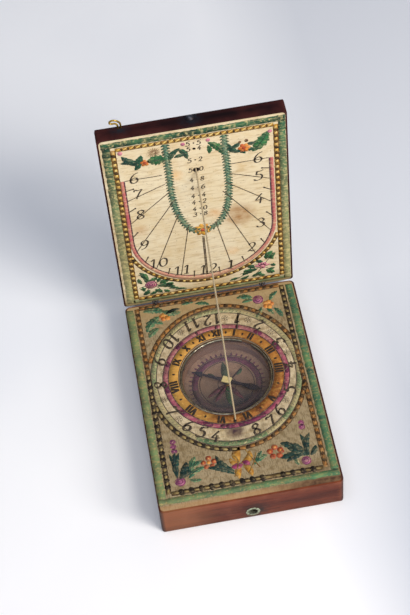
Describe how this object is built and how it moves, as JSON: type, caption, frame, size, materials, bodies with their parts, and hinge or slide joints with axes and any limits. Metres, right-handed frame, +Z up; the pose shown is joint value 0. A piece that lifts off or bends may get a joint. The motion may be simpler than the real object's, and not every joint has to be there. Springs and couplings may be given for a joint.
{
  "type": "diptych sundial",
  "caption": "Folding pocket sundial of two hinged wooden boards with printed dials, a glazed compass in the base and a thread gnomon stretched between them.",
  "frame": {"origin": "middle of the base's underside", "axes": "+Z up from the surface it stands on, +Y towards the hinge, +X right when seen from the front"},
  "size_m": [0.06, 0.0933, 0.1005],
  "materials": {
    "base_wood": "worn, rubbed satin",
    "lid_wood": "dark, worn satin",
    "base_paper": "printed and hand-coloured paper, yellowed and rubbed",
    "lid_paper": "printed and hand-coloured paper, foxed",
    "rose_paper": "printed paper, browned",
    "pin_brass": "dull",
    "cap_brass": "bright, filed",
    "eye_brass": "tarnished",
    "ring_brass": "dull",
    "bush_brass": "green with verdigris",
    "blued_steel": "blued",
    "iron_wire": "dark, drawn",
    "iron_pin": "dark, rubbed bright on top",
    "pane": "old, slightly grey and dusty",
    "thread": "twisted linen"
  },
  "bodies": {
    "base": {"base_block": "base_wood", "base_dial_paper": "base_paper", "compass_rose": "rose_paper", "pivot_pin": "pin_brass", "compass_glass": "pane", "glass_retaining_ring": "ring_brass", "catch_socket_bush": "bush_brass", "base_hinge_eye_left": "iron_wire", "base_hinge_eye_right": "iron_wire", "gnomon_string": "thread", "string_knot_base": "thread"},
    "lid": {"lid_board": "lid_wood", "lid_dial_paper": "lid_paper", "lid_hinge_wire_left": "iron_wire", "lid_hinge_wire_right": "iron_wire", "lid_catch_pin": "iron_pin", "lid_wire_eye": "eye_brass", "string_knot_lid": "thread"},
    "needle": {"needle_blade": "blued_steel", "needle_cap": "cap_brass"}
  },
  "joints": [
    {"name": "lid_hinge", "type": "hinge", "parent": "base", "child": "lid", "pos_m": [0, 0.042, 0.0127], "axis": [1, 0, 0], "range_deg": [0, 90], "deforming": ["gnomon_string"]},
    {"name": "needle_spin", "type": "hinge", "parent": "base", "child": "needle", "pos_m": [0, 0.0065, 0.0092], "axis": [0, 0, 1], "continuous": true}
  ]
}
